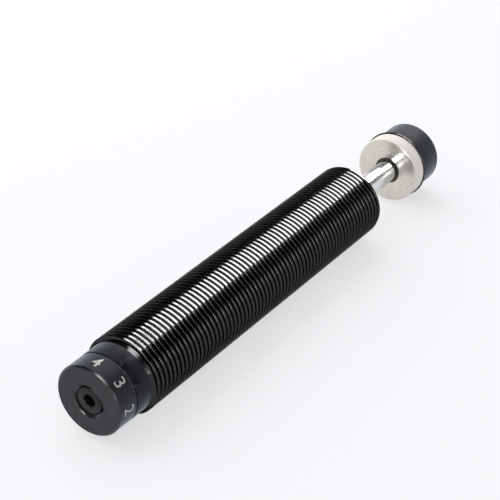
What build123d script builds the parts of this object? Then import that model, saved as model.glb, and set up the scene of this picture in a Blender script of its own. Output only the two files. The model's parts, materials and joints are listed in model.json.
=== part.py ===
"""An adjustable industrial shock absorber with a threaded sleeve, M20 x 1.5.

Millimetres. The axis of the part is X: the rod points along +X, the knob is at the -X end.
The origin is on the axis, at the front face of the threaded housing, and +Z is up.
The rod is modelled fully out, and the knob in the middle of its range.
"""

import os
from math import asin, cos, degrees, radians, sin

from build123d import *

# Fits and gaps, each used wherever that kind of fit occurs
running_gap = 0.04  # radial, a shaft that turns or slides in its bore
locating_gap = 0.05  # radial, a piece that is pushed into its seat
seal_gap = 0.02  # radial, a seal drawn just clear of the metal that it touches
face_gap = 0.05  # axial, between two pieces in the clamped stack
chamfer_size = 0.4  # turned outside edges
small_chamfer = 0.2  # edges at the seam and inside

# Housing: a threaded sleeve, closed at the rear by a thick wall
thread_radius = 10.0
thread_length = 98.6
bore_radius = 7.5
neck_radius = 9.05
neck_length = 4.8
shoulder_chamfer = 0.95  # axial length of the slope from the thread down to the neck
rear_wall = 5.4
pocket_radius = 4.5
pocket_depth = 3.0

# Notch in the neck's rear edge, the index for the knob's numbers
notch_depth = 0.85
notch_width = 1.7
notch_start = 119.0
notch_end = 157.0

# Front mouth: circlip, gland, wiper, rod seal, guide bush
mouth_depth = 1.3
circlip_thickness = 1.0
circlip_groove_depth = 0.45
circlip_width = 1.15
circlip_opening = 70.0
circlip_lug_radius = 1.15
circlip_eye_radius = 0.55
gland_length = 13.65
gland_lip_gap = 0.25
wiper_pocket_wall = 2.65
wiper_length = 2.9
gland_web = 1.25
seal_length = 4.3
seal_groove = 2.6
seal_lip = 0.55
bush_wall = 2.1
nose_length = 18.0
nose_seat = 12.0
nose_relief = 0.85
o_ring_section = 1.8
o_ring_squash = 0.82
o_ring_side_gap = 0.15

# Rod, and the threaded stud at each end of it
rod_radius = 3.0
stroke = 20.0
closed_gap = 0.4
button_stud_radius = 2.5
button_stud_length = 6.0
piston_stud_radius = 1.5
stud_proud = 0.7

# Piston
piston_gap = 0.07
piston_length = 7.0
piston_stop_gap = 0.2
ring_width = 1.5
ring_depth = 0.75
ring_from_front = 2.2
ring_split = 0.35
passage_count = 4
passage_radius = 0.45
passage_circle = 2.75
piston_boss_radius = 2.2
piston_recess_radius = 4.1
piston_recess_depth = 1.0
disc_gap = 0.3
disc_thickness = 0.3
nut_height = 2.4
nut_across_flats = 5.5

# Pressure tube with its metering holes, which the piston passes one after the other
tube_bore_radius = 5.0
tube_wall = 1.2
hole_count = 5
hole_radius = 0.4
hole_start = 1.2
metered_share = 0.9
port_count = 2
port_radius = 0.8
plug_length = 4.0
plug_flange = 0.9
plug_boss_length = 2.0

# Foam sleeve round the front of the tube
foam_gap = 0.15
foam_wall = 0.95
foam_start = 1.0

# Return spring
spring_wire = 0.9
spring_side_gap = 0.35
spring_turns = 7
spring_steps = 16

# Metering sleeve, with a tapered window over each hole
sleeve_wall = 0.7
sleeve_floor = 2.0
sleeve_lead = 1.6
window_width = 1.3
window_tip = 0.35  # how far past the axis a window reaches, as a share of the sleeve's radius
window_at_rest = 180.0

# Spindle, from the sleeve to the knob
spindle_radius = 3.0
flange_radius = 5.5
flange_thickness = 2.8
washer_thickness = 0.5
drive_key_width = 2.0
drive_key_length = 7.0
key_gap = 0.06
tenon_radius = 2.6
tenon_flat = 2.0
seal_from_pocket = 3.4
seal_section = 1.2

# Knob
knob_radius = 9.0
knob_length = 6.1
knob_gap = 0.25
knob_chamfer = 0.45
hub_gap = 0.3
hub_end_gap = 0.4
turn_limit = 90.0

# Socket head screw in the knob, M4
screw_head_radius = 3.5
screw_head_height = 4.0
screw_recess = 0.4
screw_shank_radius = 2.0
screw_shank_length = 6.0
socket_across_flats = 3.0
socket_depth = 2.0
counterbore_gap = 0.5
counterbore_chamfer = 0.35
shank_gap = 0.15

# Detent: ball, spring and the radial notches in the knob's front face
detent_wall = 0.56
detent_angle = 0.0
detent_step = 15.0
ball_radius = 0.75
ball_proud = 0.5
notch_gap = 0.04
detent_hole_depth = 4.6
detent_wire = 0.22
detent_turns = 3
detent_steps = 12

# Pin that stops the knob's turn, and the groove that it runs in
pin_wall = 1.0
pin_angle = 270.0
pin_radius = 0.45
pin_depth = 3.0
pin_reach = 0.9
pin_groove_gap = 0.15
pin_end_play = 0.5  # degrees

# Filling hole from the neck's rear face into the bore, closed by a grub screw
fill_wall = 0.2
fill_angle = 90.0
fill_radius = 1.0
fill_plug_length = 3.2
fill_plug_sunk = 0.4
fill_socket = 0.9

# Strike button
button_radius = 9.1
button_length = 4.05
button_recess_radius = 3.65
button_recess_depth = 0.6
button_neck_radius = 5.6
button_bead_radius = 6.4
button_spigot_length = 4.6
button_bead_length = 2.0
stud_hole_extra = 0.4

# Bumper cap
cap_radius = 8.75
cap_length = 9.4
cap_lip_height = 0.4
cap_lip_length = 0.6
cap_lip_chamfer = 0.15
cap_edge_radius = 1.1
cap_edge_steps = 3
socket_gap = 0.05

# Places along the axis that follow from the sizes above, front of the housing
x_circlip = -mouth_depth
x_gland_front = x_circlip - circlip_thickness - face_gap
x_web = x_gland_front - wiper_length - face_gap
x_seal_front = x_web - gland_web
x_bush_front = x_seal_front - seal_length - face_gap
x_gland_back = x_gland_front - gland_length
x_tube_front = x_gland_back - face_gap
x_nose_back = x_gland_back - nose_length
x_piston_front = x_nose_back - piston_stop_gap
x_piston_back = x_piston_front - piston_length
x_disc_back = x_piston_back - disc_thickness
x_nut_back = x_disc_back - nut_height

# Places along the axis, rear of the housing
x_shoulder = -thread_length
x_seam = x_shoulder - neck_length
x_pocket = x_seam + pocket_depth
x_floor = x_pocket + rear_wall
x_flange_back = x_floor + face_gap + washer_thickness + face_gap
x_sleeve_back = x_flange_back + flange_thickness + face_gap
x_plug_back = x_sleeve_back + sleeve_floor + face_gap
x_tube_back = x_plug_back + plug_flange
x_plug_front = x_tube_back + plug_length
x_knob_front = x_seam - knob_gap
x_knob_back = x_knob_front - knob_length
x_head_back = x_knob_back + screw_recess
x_head_front = x_head_back + screw_head_height
x_tenon_back = x_head_front + hub_end_gap
x_ball = x_seam - ball_proud + ball_radius

# Places along the axis, strike end
x_button_back = stroke + closed_gap
x_stud_front = x_button_back + button_recess_depth
x_button_front = x_button_back + button_length
x_cap_front = x_button_front + cap_length

# Radii that follow from the fits
rod_bore_radius = rod_radius + running_gap
gland_radius = bore_radius - locating_gap
tube_radius = tube_bore_radius + tube_wall
pocket_bore_radius = rod_radius + bush_wall + locating_gap
sleeve_bore_radius = tube_radius + running_gap
sleeve_radius = sleeve_bore_radius + sleeve_wall
spindle_bore_radius = spindle_radius + running_gap
piston_radius = tube_bore_radius - piston_gap
spring_radius = tube_bore_radius - spring_side_gap - spring_wire / 2
disc_radius = spring_radius - spring_wire / 2 - disc_gap
hub_radius = pocket_radius - hub_gap
cap_lip_radius = button_radius + cap_lip_height
detent_circle = pocket_radius + detent_wall + running_gap + ball_radius
pin_circle = neck_radius - pin_wall - pin_radius
fill_circle = bore_radius - fill_wall - fill_radius
o_ring_floor = gland_radius - o_ring_section * o_ring_squash
x_holes = [
    x_piston_back - hole_start - metered_share * stroke * (1 - (1 - i / hole_count) ** 2)
    for i in range(hole_count)
]
x_sleeve_front = x_holes[0] + sleeve_lead


def turned(points):
    """A closed profile of (x, radius) points, turned round the axis."""
    outline = Polyline(*points, close=True)
    return revolve(make_face(outline), Axis.X)


def ring(x_front, x_back, outer, inner):
    """A plain ring or tube between two places on the axis."""
    return turned([(x_front, inner), (x_front, outer), (x_back, outer), (x_back, inner)])


def rod(x_front, x_back, radius):
    """A plain round bar on the axis."""
    return turned([(x_front, 0), (x_front, radius), (x_back, radius), (x_back, 0)])


def place(angle, circle):
    """The y and z of a point at an angle on a circle round the axis."""
    return circle * cos(radians(angle)), circle * sin(radians(angle))


def pin_at(angle, circle, x_front, x_back, radius):
    """A round bar parallel to the axis, at an angle on a circle."""
    y, z = place(angle, circle)
    return Pos(0, y, z) * rod(x_front, x_back, radius)


def cross_hole(x, angle, radius, depth_from, depth_to):
    """A round bar that stands radially on the axis, for a hole through a wall."""
    bar = Cylinder(radius, depth_to - depth_from, align=(Align.CENTER, Align.CENTER, Align.MIN))
    return Rot(angle - 90, 0, 0) * (Pos(x, 0, depth_from) * bar)


def sector(x_front, x_back, outer, inner, start, sweep):
    """A part of a ring, from a start angle through a sweep."""
    outline = Polyline(
        (x_front, inner), (x_front, outer), (x_back, outer), (x_back, inner), close=True
    )
    return Rot(start, 0, 0) * revolve(make_face(outline), Axis.X, sweep)


def hex_bar(x_front, x_back, across_flats):
    """A hexagon bar on the axis."""
    outline = Plane.YZ * RegularPolygon(across_flats / 2, 6, major_radius=False)
    return Pos(x_back, 0, 0) * extrude(outline, x_front - x_back)


def coil(x_front, x_back, radius, wire, turns, steps):
    """A compression spring of square wire, with its two ends ground flat.

    The wire runs straight from one step to the next, to keep its number of faces low.
    """
    sections = []
    for i in range(turns * steps + 1):
        angle = 360 * i / steps
        y, z = place(angle, radius)
        across, up = place(angle + 90, 1)
        x = x_back + (x_front - x_back) * i / (turns * steps)
        station = Plane(origin=(x, y, z), x_dir=(1, 0, 0), z_dir=(0, across, up))
        sections.append(station * Rectangle(wire, wire))
    strand = loft(sections, ruled=True)
    return strand & ring(x_front, x_back, radius + wire, radius - wire)


def make_housing():
    """Threaded sleeve, bore, circlip groove, rear wall, neck and its pocket."""
    body = turned(
        [
            (0, bore_radius),
            (0, thread_radius - chamfer_size),
            (-chamfer_size, thread_radius),
            (x_shoulder + shoulder_chamfer, thread_radius),
            (x_shoulder, neck_radius),
            (x_seam + small_chamfer, neck_radius),
            (x_seam, neck_radius - small_chamfer),
            (x_seam, pocket_radius),
            (x_pocket, pocket_radius),
            (x_pocket, spindle_bore_radius),
            (x_floor, spindle_bore_radius),
            (x_floor, bore_radius),
        ]
    )
    groove_radius = bore_radius + circlip_groove_depth
    body -= ring(
        x_circlip + face_gap,
        x_circlip - circlip_thickness - face_gap / 2,
        groove_radius,
        bore_radius - circlip_groove_depth,
    )
    x_hole_end = x_seam + detent_hole_depth
    ball_hole = ball_radius + running_gap
    body -= pin_at(detent_angle, detent_circle, x_hole_end, x_seam, ball_hole)
    body -= pin_at(pin_angle, pin_circle, x_seam + pin_depth, x_seam, pin_radius)
    body -= pin_at(fill_angle, fill_circle, x_floor, x_seam, fill_radius)
    body -= sector(
        x_seam + notch_width,
        x_seam - notch_width,
        neck_radius + notch_depth,
        neck_radius - notch_depth,
        notch_start,
        notch_end - notch_start,
    )
    return body


def make_retaining_ring():
    """Internal circlip: an open ring with an eye at each end for the pliers."""
    outer = bore_radius + circlip_groove_depth - locating_gap
    inner = outer - circlip_width
    x_back = x_circlip - circlip_thickness
    clip = sector(
        x_circlip, x_back, outer, inner, 90 + circlip_opening / 2, 360 - circlip_opening
    )
    eye_circle = bore_radius - locating_gap - circlip_lug_radius
    half_opening = circlip_opening / 2 - degrees(asin(circlip_lug_radius / 2 / eye_circle))
    for side in (-1, 1):
        angle = 90 + side * half_opening
        clip += pin_at(angle, eye_circle, x_circlip, x_back, circlip_lug_radius)
    for side in (-1, 1):
        angle = 90 + side * half_opening
        clip -= pin_at(angle, eye_circle, x_circlip, x_back, circlip_eye_radius)
    return clip


def make_gland():
    """Turned gland with a pocket for the wiper, one for the seal and bush, and a groove."""
    lip = rod_radius + gland_lip_gap
    wiper_pocket = rod_radius + wiper_pocket_wall
    body = turned(
        [
            (x_gland_front, wiper_pocket),
            (x_gland_front, gland_radius - small_chamfer),
            (x_gland_front - small_chamfer, gland_radius),
            (x_gland_back, gland_radius),
            (x_gland_back, pocket_bore_radius),
            (x_seal_front, pocket_bore_radius),
            (x_seal_front, lip),
            (x_web, lip),
            (x_web, wiper_pocket),
        ]
    )
    half_groove = o_ring_section / 2 + o_ring_side_gap
    x_groove = (x_gland_front + x_gland_back) / 2
    return body - ring(
        x_groove + half_groove, x_groove - half_groove, bore_radius, o_ring_floor
    )


def o_ring(x_middle, inner, outer, width):
    """An O-ring squeezed flat in its groove, drawn with a square section."""
    return ring(x_middle + width / 2, x_middle - width / 2, outer, inner)


def make_gland_o_ring():
    """Seals the gland in the housing's bore."""
    x_middle = (x_gland_front + x_gland_back) / 2
    return o_ring(x_middle, o_ring_floor + seal_gap, bore_radius - seal_gap, o_ring_section)


def make_wiper_ring():
    """Wiper with a thin lip that leans forward on to the rod."""
    outer = rod_radius + wiper_pocket_wall - locating_gap
    inner = rod_radius + seal_gap
    x_back = x_gland_front - wiper_length
    return turned(
        [
            (x_gland_front, outer),
            (x_back, outer),
            (x_back, inner + gland_lip_gap),
            (x_gland_front, inner),
            (x_gland_front - wiper_length / 3, inner + seal_lip * 2),
            (x_gland_front, outer - seal_lip),
        ]
    )


def make_rod_seal():
    """U-shaped lip seal, open towards the oil."""
    outer = pocket_bore_radius - seal_gap
    inner = rod_radius + seal_gap
    middle = (outer + inner) / 2
    x_back = x_seal_front - seal_length
    return turned(
        [
            (x_seal_front, inner),
            (x_seal_front, outer),
            (x_back, outer),
            (x_back, outer - seal_lip),
            (x_back + seal_groove, middle),
            (x_back, inner + seal_lip),
            (x_back, inner),
        ]
    )


def make_guide_bush():
    """Bronze bush in the gland, with the nose that the tube and the piston seat on."""
    nose_radius = tube_bore_radius - locating_gap
    return turned(
        [
            (x_bush_front, rod_bore_radius),
            (x_bush_front, rod_radius + bush_wall),
            (x_gland_back, rod_radius + bush_wall),
            (x_gland_back, nose_radius),
            (x_gland_back - nose_seat, nose_radius),
            (x_gland_back - nose_seat - nose_relief, nose_radius - nose_relief),
            (x_nose_back, nose_radius - nose_relief),
            (x_nose_back, rod_bore_radius),
        ]
    )


def make_accumulator_foam():
    """Foam sleeve between the tube and the housing, ahead of the metering sleeve."""
    inner = tube_radius + foam_gap
    x_front = x_tube_front - foam_start
    return ring(x_front, x_sleeve_front + foam_start, inner + foam_wall, inner)


def make_pressure_tube():
    """Tube with a row of metering holes and the return ports round its front end."""
    tube = ring(x_tube_front, x_tube_back, tube_radius, tube_bore_radius)
    reach = tube_radius + tube_wall
    for x in x_holes:
        tube -= cross_hole(x, 90, hole_radius, 0, reach)
    x_port = (x_gland_back - nose_seat - nose_relief + x_nose_back) / 2
    for i in range(port_count):
        tube -= cross_hole(x_port, 45 + i * 360 / port_count, port_radius, 0, reach)
    return tube


def make_tube_plug():
    """Flanged plug in the tube's rear end, with a boss that centres the spring."""
    plug_radius = tube_bore_radius - locating_gap
    boss_radius = spring_radius - spring_wire / 2 - locating_gap * 2
    return turned(
        [
            (x_plug_front + plug_boss_length, 0),
            (x_plug_front + plug_boss_length, boss_radius - chamfer_size),
            (x_plug_front + plug_boss_length - chamfer_size, boss_radius),
            (x_plug_front, boss_radius),
            (x_plug_front, plug_radius),
            (x_tube_back, plug_radius),
            (x_tube_back, tube_radius),
            (x_plug_back, tube_radius),
            (x_plug_back, 0),
        ]
    )


def make_return_spring():
    """Compression spring between the piston and the tube's plug."""
    return coil(
        x_piston_back, x_plug_front, spring_radius, spring_wire, spring_turns, spring_steps
    )


def make_piston_rod():
    """Ground rod with a threaded stud at each end."""
    x_stud_back = x_nut_back - stud_proud
    x_tip = x_stud_front + button_stud_length
    return turned(
        [
            (x_tip, 0),
            (x_tip, button_stud_radius - chamfer_size),
            (x_tip - chamfer_size, button_stud_radius),
            (x_stud_front, button_stud_radius),
            (x_stud_front, rod_radius - small_chamfer),
            (x_stud_front - small_chamfer, rod_radius),
            (x_piston_front, rod_radius),
            (x_piston_front, piston_stud_radius),
            (x_stud_back + small_chamfer, piston_stud_radius),
            (x_stud_back, piston_stud_radius - small_chamfer),
            (x_stud_back, 0),
        ]
    )


def make_piston_head():
    """Piston with a groove for the split ring and a ring of oil passages."""
    x_groove_front = x_piston_front - ring_from_front
    x_groove_back = x_groove_front - ring_width - 2 * face_gap
    floor_radius = piston_radius - ring_depth
    head = turned(
        [
            (x_piston_front, piston_stud_radius + seal_gap),
            (x_piston_front, piston_radius - small_chamfer),
            (x_piston_front - small_chamfer, piston_radius),
            (x_groove_front, piston_radius),
            (x_groove_front, floor_radius),
            (x_groove_back, floor_radius),
            (x_groove_back, piston_radius),
            (x_piston_back, piston_radius),
            (x_piston_back, piston_stud_radius + seal_gap),
        ]
    )
    for i in range(passage_count):
        angle = i * 360 / passage_count
        head -= pin_at(angle, passage_circle, x_piston_front, x_piston_back, passage_radius)
    x_recess = x_piston_front - piston_recess_depth
    return head - ring(x_piston_front, x_recess, piston_recess_radius, piston_boss_radius)


def make_piston_ring():
    """Split ring that runs in the pressure tube."""
    x_front = x_piston_front - ring_from_front - face_gap
    outer = tube_bore_radius - running_gap
    inner = piston_radius - ring_depth + locating_gap
    opening = degrees(ring_split / outer)
    return sector(x_front, x_front - ring_width, outer, inner, opening / 2, 360 - opening)


def make_check_disc():
    """Thin disc that covers the oil passages while the rod is pushed in."""
    return ring(x_piston_back, x_disc_back, disc_radius, piston_stud_radius + seal_gap)


def make_piston_nut():
    """Hexagon nut on the rod's rear stud."""
    body = hex_bar(x_disc_back, x_nut_back, nut_across_flats)
    return body - rod(x_disc_back, x_nut_back, piston_stud_radius + seal_gap)


def make_metering_sleeve():
    """Cup that turns on the tube, with a tapered window over each metering hole."""
    x_cup_floor = x_sleeve_back + sleeve_floor
    body = turned(
        [
            (x_sleeve_front, sleeve_bore_radius),
            (x_sleeve_front, sleeve_radius),
            (x_sleeve_back, sleeve_radius),
            (x_sleeve_back, 0),
            (x_cup_floor, 0),
            (x_cup_floor, sleeve_bore_radius),
        ]
    )
    reach = 2 * sleeve_radius
    for x in x_holes:
        outline = Polyline(
            (x - window_width, reach),
            (x + window_width, reach),
            (x, -window_tip * sleeve_radius),
            close=True,
        )
        wedge = extrude(make_face(outline), reach, both=True)
        body -= Rot(window_at_rest, 0, 0) * wedge
    slot = Box(
        sleeve_floor,
        drive_key_length + 2 * key_gap,
        drive_key_width + 2 * key_gap,
        align=(Align.MIN, Align.CENTER, Align.CENTER),
    )
    return body - Pos(x_sleeve_back, 0, 0) * slot


def make_adjusting_spindle():
    """Spindle with a key for the sleeve, a thrust flange, a seal groove and a flat tenon."""
    x_flange_front = x_flange_back + flange_thickness
    x_groove = x_pocket + seal_from_pocket
    groove_half = seal_section / 2 + o_ring_side_gap / 2
    groove_floor = spindle_radius - seal_section * o_ring_squash
    body = turned(
        [
            (x_flange_front, 0),
            (x_flange_front, flange_radius),
            (x_flange_back, flange_radius),
            (x_flange_back, spindle_radius),
            (x_groove + groove_half, spindle_radius),
            (x_groove + groove_half, groove_floor),
            (x_groove - groove_half, groove_floor),
            (x_groove - groove_half, spindle_radius),
            (x_pocket, spindle_radius),
            (x_pocket, tenon_radius),
            (x_tenon_back, tenon_radius),
            (x_tenon_back, 0),
        ]
    )
    for side in (-1, 1):
        flat = Box(
            x_pocket - x_tenon_back,
            2 * tenon_radius,
            tenon_radius,
            align=(Align.MIN, Align.CENTER, Align.MIN if side > 0 else Align.MAX),
        )
        body -= Pos(x_tenon_back, 0, side * tenon_flat) * flat
    key = Box(
        sleeve_floor - face_gap,
        drive_key_length,
        drive_key_width,
        align=(Align.MIN, Align.CENTER, Align.CENTER),
    )
    body += Pos(x_flange_front, 0, 0) * key
    x_thread_end = x_head_front + screw_shank_length + stud_hole_extra
    return body - rod(x_thread_end, x_tenon_back, screw_shank_radius + seal_gap)


def make_thrust_washer():
    """Washer between the spindle's flange and the housing's rear wall."""
    x_back = x_floor + face_gap
    return ring(x_back + washer_thickness, x_back, flange_radius, spindle_bore_radius)


def make_spindle_o_ring():
    """Seals the spindle in the rear wall."""
    inner = spindle_radius - seal_section * o_ring_squash + seal_gap
    outer = spindle_bore_radius - seal_gap / 2
    return o_ring(x_pocket + seal_from_pocket, inner, outer, seal_section)


def make_adjusting_knob():
    """Knob with a hub, a counterbore, a flat socket, detent dimples and the stop groove."""
    counterbore_radius = screw_head_radius + counterbore_gap
    x_hub_front = x_pocket - hub_end_gap
    knob = turned(
        [
            (x_knob_back, counterbore_radius + counterbore_chamfer),
            (x_knob_back, knob_radius - knob_chamfer),
            (x_knob_back + knob_chamfer, knob_radius),
            (x_knob_front - small_chamfer, knob_radius),
            (x_knob_front, knob_radius - small_chamfer),
            (x_knob_front, hub_radius),
            (x_hub_front, hub_radius),
            (x_hub_front, 0),
            (x_head_front, 0),
            (x_head_front, counterbore_radius),
            (x_knob_back + counterbore_chamfer, counterbore_radius),
        ]
    )
    knob -= rod(x_hub_front, x_head_front, screw_shank_radius + shank_gap)
    tenon_socket = rod(x_hub_front, x_tenon_back, tenon_radius + locating_gap)
    tenon_socket &= Pos(x_tenon_back, 0, 0) * Box(
        x_hub_front - x_tenon_back,
        4 * tenon_radius,
        2 * (tenon_flat + locating_gap),
        align=(Align.MIN, Align.CENTER, Align.CENTER),
    )
    knob -= tenon_socket

    # Each notch is a radial groove of 90 degrees that clears the ball by the notch gap
    depth = (ball_radius + notch_gap) * 2**0.5 - (x_ball - x_knob_front)
    groove = Polyline(
        (x_knob_front, depth), (x_knob_front, -depth), (x_knob_front - depth, 0), close=True
    )
    notch = Pos(0, 0, detent_circle) * extrude(make_face(groove), ball_radius, both=True)
    step_count = round(2 * turn_limit / detent_step)
    for i in range(step_count + 1):
        angle = detent_angle - turn_limit + i * detent_step
        knob -= Rot(angle - 90, 0, 0) * notch

    half_width = pin_radius + pin_groove_gap
    half_sweep = turn_limit + degrees(asin(pin_radius / pin_circle)) + pin_end_play
    knob -= sector(
        x_knob_front,
        x_seam - pin_reach - pin_groove_gap,
        pin_circle + half_width,
        pin_circle - half_width,
        pin_angle - half_sweep,
        2 * half_sweep,
    )
    return knob


def make_knob_screw():
    """Socket head cap screw that holds the knob on the spindle."""
    edge = chamfer_size / 2
    body = turned(
        [
            (x_head_back, 0),
            (x_head_back, screw_head_radius - edge),
            (x_head_back + edge, screw_head_radius),
            (x_head_front, screw_head_radius),
            (x_head_front, screw_shank_radius),
            (x_head_front + screw_shank_length, screw_shank_radius),
            (x_head_front + screw_shank_length, 0),
        ]
    )
    return body - hex_bar(x_head_back + socket_depth, x_head_back, socket_across_flats)


def make_detent_ball():
    """Steel ball that clicks into the knob's notches."""
    y, z = place(detent_angle, detent_circle)
    return Pos(x_ball, y, z) * Sphere(ball_radius)


def make_detent_spring():
    """Small spring behind the ball."""
    y, z = place(detent_angle, detent_circle)
    x_front = x_seam + detent_hole_depth
    radius = ball_radius - detent_wire / 2 - locating_gap
    seat = (ball_radius**2 - radius**2) ** 0.5 + detent_wire / 2
    strand = coil(x_front, x_ball + seat, radius, detent_wire, detent_turns, detent_steps)
    return Pos(0, y, z) * strand


def make_stop_pin():
    """Pin in the neck's rear face that runs in the knob's groove."""
    return pin_at(pin_angle, pin_circle, x_seam + pin_depth, x_seam - pin_reach, pin_radius)


def make_fill_plug():
    """Grub screw in the oil filling hole, hidden by the knob."""
    x_back = x_seam + fill_plug_sunk
    y, z = place(fill_angle, fill_circle)
    plug = rod(x_back + fill_plug_length, x_back, fill_radius - seal_gap)
    plug -= hex_bar(x_back + fill_socket, x_back, fill_socket)
    return Pos(0, y, z) * plug


def make_strike_button():
    """Turned steel disc with a recess round the rod and a beaded spigot for the cap."""
    x_bead_front = x_button_front + button_spigot_length
    x_bead_back = x_bead_front - button_bead_length
    x_hole_end = x_stud_front + button_stud_length + stud_hole_extra
    stud_bore = button_stud_radius + seal_gap
    bead_slope = button_bead_radius - button_neck_radius
    return turned(
        [
            (x_button_back, button_recess_radius + small_chamfer),
            (x_button_back, button_radius - chamfer_size),
            (x_button_back + chamfer_size, button_radius),
            (x_button_front, button_radius),
            (x_button_front, button_neck_radius),
            (x_bead_back, button_neck_radius),
            (x_bead_back, button_bead_radius),
            (x_bead_front - bead_slope, button_bead_radius),
            (x_bead_front, button_neck_radius),
            (x_bead_front, 0),
            (x_hole_end, 0),
            (x_hole_end, stud_bore),
            (x_stud_front, stud_bore),
            (x_stud_front, button_recess_radius),
            (x_button_back + small_chamfer, button_recess_radius),
        ]
    )


def make_bumper_cap():
    """Polyurethane cap with a raised lip, snapped over the button's bead.

    Its rounded front rim is drawn with a few straight steps.
    """
    x_lip_front = x_button_front + cap_lip_length
    x_bead_front = x_button_front + button_spigot_length
    x_bead_back = x_bead_front - button_bead_length - socket_gap
    bead_slope = button_bead_radius - button_neck_radius
    x_socket_end = x_bead_front + socket_gap
    rim = [place(i * 90 / cap_edge_steps, cap_edge_radius) for i in range(cap_edge_steps + 1)]
    x_rim, rim_circle = x_cap_front - cap_edge_radius, cap_radius - cap_edge_radius
    return turned(
        [
            (x_button_front, button_neck_radius + socket_gap),
            (x_button_front, cap_lip_radius - cap_lip_chamfer),
            (x_button_front + cap_lip_chamfer, cap_lip_radius),
            (x_lip_front - cap_lip_chamfer, cap_lip_radius),
            (x_lip_front, cap_lip_radius - cap_lip_chamfer),
            (x_lip_front, cap_radius),
            *[(x_rim + along, rim_circle + out) for out, along in rim],
            (x_cap_front, 0),
            (x_socket_end, 0),
            (x_socket_end, button_neck_radius + socket_gap),
            (x_bead_front - bead_slope, button_bead_radius + socket_gap),
            (x_bead_back, button_bead_radius + socket_gap),
            (x_bead_back, button_neck_radius + socket_gap),
        ]
    )


pieces = {
    "housing": make_housing(),
    "retaining_ring": make_retaining_ring(),
    "gland": make_gland(),
    "gland_o_ring": make_gland_o_ring(),
    "wiper_ring": make_wiper_ring(),
    "rod_seal": make_rod_seal(),
    "guide_bush": make_guide_bush(),
    "accumulator_foam": make_accumulator_foam(),
    "pressure_tube": make_pressure_tube(),
    "tube_plug": make_tube_plug(),
    "return_spring": make_return_spring(),
    "stop_pin": make_stop_pin(),
    "detent_ball": make_detent_ball(),
    "detent_spring": make_detent_spring(),
    "fill_plug": make_fill_plug(),
    "piston_ring": make_piston_ring(),
    "piston_rod": make_piston_rod(),
    "piston_head": make_piston_head(),
    "check_disc": make_check_disc(),
    "piston_nut": make_piston_nut(),
    "strike_button": make_strike_button(),
    "bumper_cap": make_bumper_cap(),
    "metering_sleeve": make_metering_sleeve(),
    "adjusting_spindle": make_adjusting_spindle(),
    "thrust_washer": make_thrust_washer(),
    "spindle_o_ring": make_spindle_o_ring(),
    "adjusting_knob": make_adjusting_knob(),
    "knob_screw": make_knob_screw(),
}

os.makedirs("parts", exist_ok=True)
for name, shape in pieces.items():
    export_step(shape, f"parts/{name}.step")
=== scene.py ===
# %% [markdown]
# # An adjustable shock absorber, dressed
#
# The CAD model gives every piece its place and its real size. This file puts the looks round
# it: a cut thread, turned edges, chrome, nickel, oxide and rubber. It starts by loading the
# imported model, in metres.

# %% Load the frame
import json
from math import atan2, cos, degrees, hypot, pi, radians, sin

import bmesh
import bpy
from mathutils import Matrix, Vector


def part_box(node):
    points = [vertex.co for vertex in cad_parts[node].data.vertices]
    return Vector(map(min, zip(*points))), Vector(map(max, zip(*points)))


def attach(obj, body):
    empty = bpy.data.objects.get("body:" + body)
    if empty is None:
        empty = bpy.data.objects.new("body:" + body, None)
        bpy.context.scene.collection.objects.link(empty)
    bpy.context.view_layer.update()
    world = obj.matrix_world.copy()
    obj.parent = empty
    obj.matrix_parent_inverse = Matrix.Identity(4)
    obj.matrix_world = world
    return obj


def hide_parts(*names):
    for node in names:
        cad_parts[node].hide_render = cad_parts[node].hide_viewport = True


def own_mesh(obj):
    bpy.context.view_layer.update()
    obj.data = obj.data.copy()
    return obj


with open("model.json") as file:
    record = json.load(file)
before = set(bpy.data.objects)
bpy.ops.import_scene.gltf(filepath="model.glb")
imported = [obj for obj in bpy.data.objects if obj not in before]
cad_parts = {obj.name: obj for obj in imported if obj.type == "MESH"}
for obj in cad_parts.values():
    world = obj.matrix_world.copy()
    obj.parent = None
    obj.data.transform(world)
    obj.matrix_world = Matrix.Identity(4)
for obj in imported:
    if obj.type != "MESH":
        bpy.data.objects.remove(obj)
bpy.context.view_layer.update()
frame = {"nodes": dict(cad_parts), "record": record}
MM = 0.001

# %% [markdown]
# ## Sizes
#
# The axis is X, and the rod points along +X. These are the sizes of the pieces that are
# modelled again here, in millimetres, as the CAD model has them. The housing's front face is
# at x = 0. A place on the surface is given by x, its radius and its angle round the axis,
# where 90 degrees is the top. The plain name of a round thing, such as NECK or ROD, is its
# radius. A name that ends with END, BACK, FRONT, SEAM or SHOULDER is a place on x.

# %% Sizes in millimetres
PITCH = 1.5
THREAD_TOP, THREAD_ROOT = 10.0, 9.1
SHOULDER, SLOPE = -98.6, 0.95
FRONT_CHAMFER = 0.4
NECK, SEAM = 9.05, -103.4
BORE, BORE_END, CIRCLIP_GROOVE = 7.5, -95.0, 7.95
POCKET, POCKET_END, SPINDLE_BORE = 4.5, -100.4, 3.04
BALL_CIRCLE, PIN_CIRCLE, FILL_CIRCLE = 5.85, 7.6, 6.3
BALL_HOLE, PIN_HOLE, FILL_HOLE = 0.79, 0.45, 1.0
KNOB, KNOB_FRONT, KNOB_BACK = 9.0, -103.65, -109.75
HUB, HUB_END = 4.2, -100.8
SPINDLE_SOCKET, SPINDLE_SOCKET_END = 2.65, -104.95
COUNTERBORE, SHANK_HOLE = 4.0, 2.15
HEAD, HEAD_BACK, HEAD_FRONT = 3.5, -109.35, -105.35
SHANK, SHANK_LENGTH, HEX_ACROSS_FLATS = 2.0, 6.0, 3.0
ROD, STUD, ROD_SHOULDER = 3.0, 2.5, 21.0
BUTTON, BUTTON_BACK, BUTTON_FRONT = 9.1, 20.4, 24.45
RECESS, SPIGOT, SPIGOT_END = 3.65, 5.6, 29.05
BEAD, BEAD_BACK, BEAD_SLOPE_BACK = 6.4, 27.05, 28.25
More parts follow.
